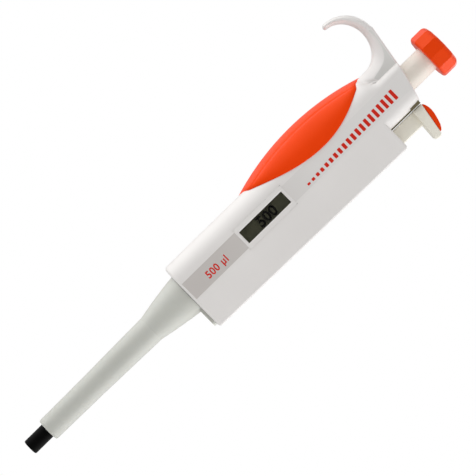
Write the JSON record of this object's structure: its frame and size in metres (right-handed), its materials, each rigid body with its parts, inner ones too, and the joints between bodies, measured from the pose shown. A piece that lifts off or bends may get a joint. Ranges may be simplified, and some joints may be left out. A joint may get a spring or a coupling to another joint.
{
  "type": "adjustable micropipette",
  "caption": "Single-channel adjustable micropipette with volume knob, digital window, finger hook, palm grip, tip ejector and nozzle for push-on tips.",
  "frame": {"origin": "on the pipette's axis at the open end of the nozzle", "axes": "+Z runs along the pipette's axis from the nozzle to the knob, the finger hook points to -X, the ejector button to +X and the display faces -Y"},
  "size_m": [0.0696, 0.0266, 0.248],
  "materials": {
    "shell_white": "satin warm white",
    "grip_orange": "soft satin orange",
    "knob_orange": "satin orange",
    "window_smoke": "smoked clear",
    "cream_plastic": "satin cream",
    "sleeve_grey": "satin greenish grey",
    "nozzle_black": "satin black",
    "rail_dark": "matt dark",
    "seal_rubber": "matt black",
    "frame_grey": "matt grey",
    "ring_plastic": "matt olive grey",
    "low_friction_white": "satin white",
    "steel": "fine turned",
    "spring_steel": "drawn wire",
    "brass": "turned"
  },
  "bodies": {
    "handle": {"handle_front": "shell_white", "handle_rear": "shell_white", "finger_hook": "shell_white", "palm_grip": "grip_orange", "window_bezel": "shell_white", "display_window": "window_smoke", "top_bush": "frame_grey", "mechanism_frame": "frame_grey", "click_ring": "seal_rubber", "counter_hub": "frame_grey", "pinion_axle": "steel", "spring_housing": "frame_grey", "shaft_socket": "frame_grey", "coupling_nut": "frame_grey", "shaft": "low_friction_white", "piston_seal": "low_friction_white", "seal_ring": "seal_rubber", "seal_retainer": "frame_grey", "tip_cone": "nozzle_black", "ejector_rail": "rail_dark", "ejector_guide": "frame_grey", "ejector_bush": "frame_grey", "handle_screws": "steel", "primary_spring": "spring_steel", "blowout_spring": "spring_steel", "ejector_spring": "spring_steel"},
    "blowout_stop": {"blowout_collar": "brass"},
    "plunger": {"piston": "steel", "piston_head": "low_friction_white"},
    "knob": {"volume_knob": "knob_orange", "knob_cap": "knob_orange", "plunger_sleeve": "cream_plastic", "push_rod": "steel"},
    "spindle": {"volume_spindle": "brass", "drive_disc": "steel", "spindle_clip": "steel", "units_ring": "ring_plastic"},
    "nut": {"stop_nut": "low_friction_white"},
    "tens": {"tens_ring": "ring_plastic"},
    "hundreds": {"hundreds_ring": "ring_plastic"},
    "tens_carry": {"tens_pinion": "brass"},
    "hundreds_carry": {"hundreds_pinion": "brass"},
    "ejector": {"ejector_button": "cream_plastic", "ejector_pad": "grip_orange", "ejector_rod": "steel", "rod_clip": "steel", "ejector_arm": "sleeve_grey", "ejector_sleeve": "sleeve_grey"}
  },
  "joints": [
    {"name": "blowout_press", "type": "slide", "parent": "handle", "child": "blowout_stop", "axis": [0, 0, 1], "range_m": [-0.0015, 0], "stiffness_N_per_m": 1500, "springref_m": 0.002, "deforming": ["blowout_spring"]},
    {"name": "plunger_press", "type": "slide", "parent": "blowout_stop", "child": "plunger", "axis": [0, 0, 1], "range_m": [-0.008, 0], "stiffness_N_per_m": 250, "springref_m": 0.003, "deforming": ["primary_spring"]},
    {"name": "knob_turn", "type": "hinge", "parent": "plunger", "child": "knob", "pos_m": [0, 0, 0.24], "axis": [0, 0, 1], "range_deg": [-3240, 0]},
    {"name": "spindle_turn", "type": "hinge", "parent": "handle", "child": "spindle", "pos_m": [0, 0, 0.15], "axis": [0, 0, 1], "range_deg": [-3240, 0]},
    {"name": "stop_nut_travel", "type": "slide", "parent": "handle", "child": "nut", "axis": [0, 0, 1], "range_m": [-0.00721, 0]},
    {"name": "tens_ring_turn", "type": "hinge", "parent": "handle", "child": "tens", "pos_m": [0, 0, 0.1424], "axis": [0, 0, 1], "range_deg": [-1620, 0]},
    {"name": "hundreds_ring_turn", "type": "hinge", "parent": "handle", "child": "hundreds", "pos_m": [0, 0, 0.139], "axis": [0, 0, 1], "range_deg": [-162, 0]},
    {"name": "tens_pinion_turn", "type": "hinge", "parent": "handle", "child": "tens_carry", "pos_m": [-0.00696, 0, 0.144], "axis": [0, 0, 1], "range_deg": [-8100, 0]},
    {"name": "hundreds_pinion_turn", "type": "hinge", "parent": "handle", "child": "hundreds_carry", "pos_m": [-0.00696, 0, 0.1406], "axis": [0, 0, 1], "range_deg": [-810, 0]},
    {"name": "ejector_press", "type": "slide", "parent": "handle", "child": "ejector", "axis": [0, 0, 1], "range_m": [-0.009, 0], "stiffness_N_per_m": 250, "springref_m": 0.004, "deforming": ["ejector_spring"]}
  ],
  "couplings": [
    {"joint": "spindle_turn", "follows": "knob_turn", "ratio": 1},
    {"joint": "stop_nut_travel", "follows": "knob_turn", "m_per_rad": 0.00012732},
    {"joint": "tens_ring_turn", "follows": "knob_turn", "ratio": 0.5},
    {"joint": "hundreds_ring_turn", "follows": "knob_turn", "ratio": 0.05},
    {"joint": "tens_pinion_turn", "follows": "knob_turn", "ratio": 2.5},
    {"joint": "hundreds_pinion_turn", "follows": "knob_turn", "ratio": 0.25}
  ]
}
